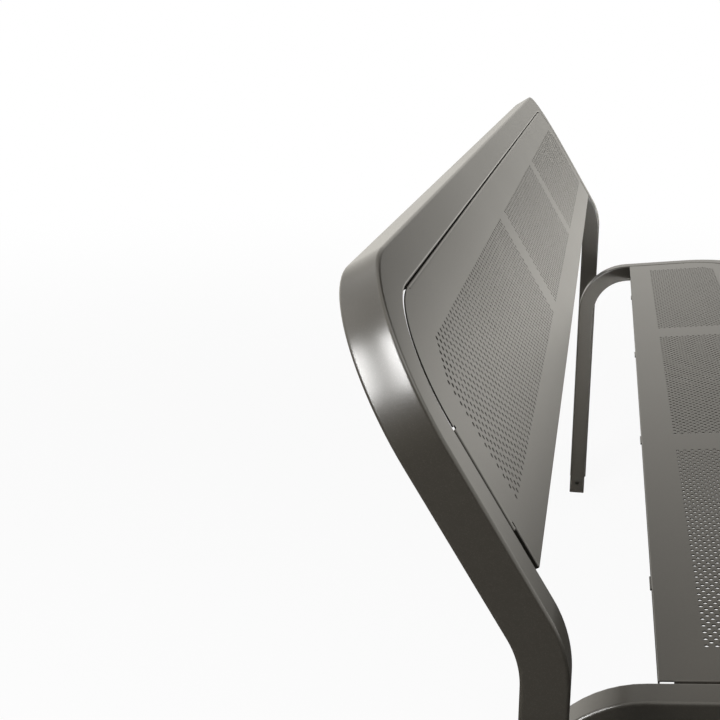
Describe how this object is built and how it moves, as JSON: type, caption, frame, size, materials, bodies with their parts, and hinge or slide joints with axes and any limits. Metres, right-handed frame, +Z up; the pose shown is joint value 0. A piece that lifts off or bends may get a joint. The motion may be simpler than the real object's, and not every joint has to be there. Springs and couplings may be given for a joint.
{
  "type": "public bench",
  "caption": "Long public bench with a reclined back: bent square-tube frames hold perforated sheet panels for seat and back, on rear legs set in the ground.",
  "frame": {"origin": "midway between the legs at the level of the leg ends, on the legs' centre line", "axes": "+X along the bench, -Y the way a sitter faces, +Z up"},
  "size_m": [1.905, 0.4727, 0.836],
  "materials": {
    "tube_coat": "satin metallic grey powder coat",
    "sheet_coat": "satin metallic grey powder coat",
    "fastener_steel": "plain stainless steel"
  },
  "bodies": {
    "root": {"back_frame": "tube_coat", "seat_frame": "tube_coat", "leg_spacer_lower_left": "tube_coat", "leg_spacer_upper_left": "tube_coat", "leg_spacer_lower_right": "tube_coat", "leg_spacer_upper_right": "tube_coat", "back_panel": "sheet_coat", "seat_panel": "sheet_coat", "seat_rib_1": "sheet_coat", "seat_rib_2": "sheet_coat", "seat_rib_3": "sheet_coat", "seat_rib_4": "sheet_coat", "leg_bolts": "fastener_steel", "leg_washers": "fastener_steel", "leg_rivet_nuts": "fastener_steel", "back_panel_screws": "fastener_steel", "back_panel_spacers": "fastener_steel", "back_panel_rivet_nuts": "fastener_steel", "seat_panel_screws": "fastener_steel", "seat_panel_spacers": "fastener_steel", "seat_panel_rivet_nuts": "fastener_steel"}
  },
  "joints": []
}
